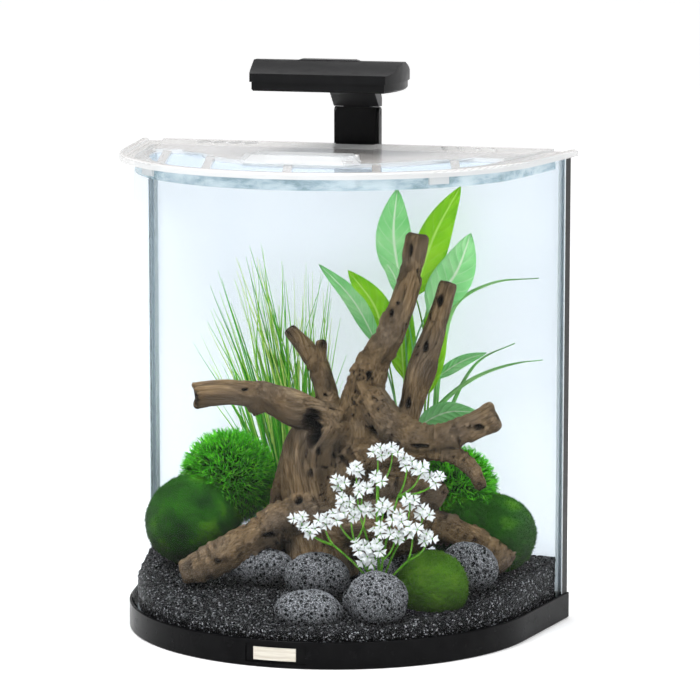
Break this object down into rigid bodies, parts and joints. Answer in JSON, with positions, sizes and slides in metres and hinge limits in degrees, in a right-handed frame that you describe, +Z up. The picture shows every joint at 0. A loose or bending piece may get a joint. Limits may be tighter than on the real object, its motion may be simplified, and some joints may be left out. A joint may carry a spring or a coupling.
{
  "type": "glass aquarium tank",
  "caption": "Half-moon glass aquarium with a black base frame, planted driftwood scene, lift-off clear lid with feeding flap and fold-up lamp.",
  "frame": {"origin": "bottom centre of the whole object, on the plane that the base frame and its foam mat stand on", "axes": "+Z up, +X to the right seen from the front, the curved glass faces -Y and the flat back pane faces +Y"},
  "size_m": [0.4162, 0.2754, 0.5165],
  "materials": {
    "base_black": "satin",
    "mat_foam": "matte",
    "badge_metal": "satin",
    "glass_floor": "gloss",
    "glass_front": "gloss",
    "glass_back": "gloss",
    "silicone_floor": "satin",
    "silicone_corner": "satin",
    "trim_black": "satin",
    "film_blue": "matte",
    "gravel": "rough",
    "driftwood": "rough",
    "lava": "rough",
    "moss_light": "rough",
    "moss_dark": "rough",
    "grass_green": "matte",
    "grass_thin": "matte",
    "leaf_green": "satin",
    "flower_white": "matte",
    "lamp_black": "satin",
    "lamp_button": "gloss",
    "neck_grey": "satin",
    "screw_steel": "brushed",
    "pad_rubber": "matte",
    "lid_clear": "gloss",
    "lid_window": "gloss",
    "lid_skirt": "gloss",
    "diffuser": "satin",
    "board_white": "satin",
    "led_yellow": "gloss",
    "sink_aluminium": "satin",
    "switch_grey": "matte"
  },
  "bodies": {
    "tank": {"base_frame": "base_black", "support_mat": "mat_foam", "badge_plate": "badge_metal", "floor_glass": "glass_floor", "curved_glass": "glass_front", "back_glass": "glass_back", "floor_seal": "silicone_floor", "corner_seal_left": "silicone_corner", "corner_seal_right": "silicone_corner", "backing_film": "film_blue", "edge_trim_left": "trim_black", "edge_trim_right": "trim_black", "gravel_bed": "gravel", "driftwood": "driftwood", "lava_stone_front": "lava", "lava_stone_middle": "lava", "lava_stone_left": "lava", "lava_stone_right": "lava", "lava_stone_behind": "lava", "lava_stone_inner": "lava", "lava_stone_small": "lava", "moss_stone": "moss_light", "moss_ball_left": "moss_dark", "moss_mound_right": "moss_dark", "moss_mound_middle": "moss_dark", "grass_ball_left": "grass_green", "grass_ball_right": "grass_green", "grass_clump": "grass_thin", "broad_leaf_plant": "leaf_green", "ribbon_plant": "grass_thin", "flower_plant": "flower_white", "lamp_column": "lamp_black", "column_cover": "lamp_black", "cover_screws": "screw_steel", "clamp_pad": "pad_rubber", "lamp_hinge_pin": "screw_steel", "cord_gland": "pad_rubber"},
    "lid": {"lid_panel": "lid_clear", "lid_windows": "lid_window", "lid_skirt": "lid_skirt", "lid_clips": "lid_clear", "flap_pins": "screw_steel"},
    "flap": {"feeding_flap": "lid_clear"},
    "lamp_head": {"lamp_neck": "neck_grey", "neck_screws": "screw_steel", "lamp_lower_shell": "lamp_black", "lamp_upper_shell": "lamp_black", "lamp_diffuser": "diffuser", "led_board": "board_white", "led_chips": "led_yellow", "heat_sink": "sink_aluminium", "switch_module": "switch_grey", "shell_screws": "screw_steel"},
    "button": {"switch_button": "lamp_button"}
  },
  "joints": [
    {"name": "lid_lift", "type": "slide", "parent": "tank", "child": "lid", "axis": [0, 0, 1], "range_m": [0, 0.03]},
    {"name": "flap_hinge", "type": "hinge", "parent": "lid", "child": "flap", "pos_m": [0, -0.02975, 0.436], "axis": [-1, 0, 0], "range_deg": [0, 80]},
    {"name": "lamp_fold", "type": "hinge", "parent": "tank", "child": "lamp_head", "pos_m": [0, 0.13225, 0.461], "axis": [-1, 0, 0], "range_deg": [0, 75]},
    {"name": "button_press", "type": "slide", "parent": "lamp_head", "child": "button", "axis": [0, 0, -1], "range_m": [0, 0.001], "stiffness_N_per_m": 400}
  ]
}
